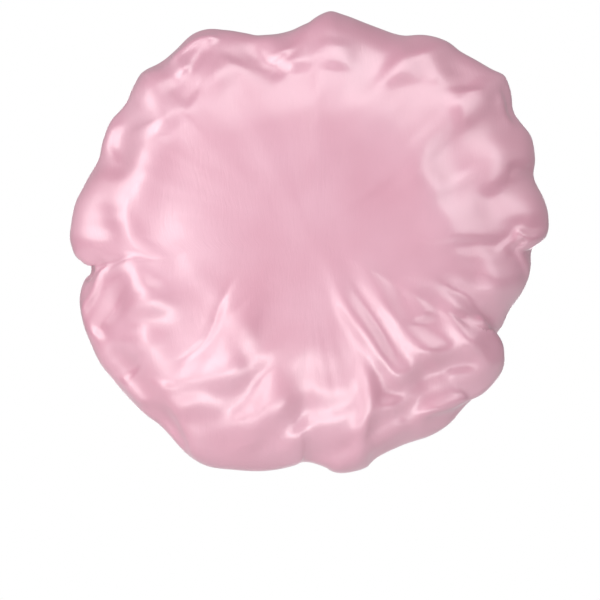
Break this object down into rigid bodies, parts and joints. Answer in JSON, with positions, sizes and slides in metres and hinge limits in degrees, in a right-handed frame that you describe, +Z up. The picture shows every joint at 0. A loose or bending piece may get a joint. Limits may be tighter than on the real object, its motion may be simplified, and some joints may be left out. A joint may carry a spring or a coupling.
{
  "type": "hair bonnet",
  "caption": "Extra-large double-layer satin sleep bonnet, very full and gathered into a folded satin band with a wide elastic, shaped as when worn.",
  "frame": {"origin": "middle of the head opening, at half the band's width", "axes": "+Y the way the wearer looks, +Z up with the wearer upright, +X to the wearer's right; the opening is tilted 42 degrees, nape down"},
  "size_m": [0.4157, 0.229, 0.4027],
  "materials": {
    "satin": "satin weave, glossy side out",
    "elastic": "knitted elastic, matte",
    "thread": "spun polyester thread"
  },
  "bodies": {
    "root": {"crown_outer": "satin", "crown_lining": "satin", "band_casing": "satin", "elastic_band": "elastic", "elastic_lap_thread": "thread", "gathering_thread": "thread", "overlock_thread": "thread", "seam_needle_thread": "thread", "seam_bobbin_thread": "thread"}
  },
  "joints": []
}
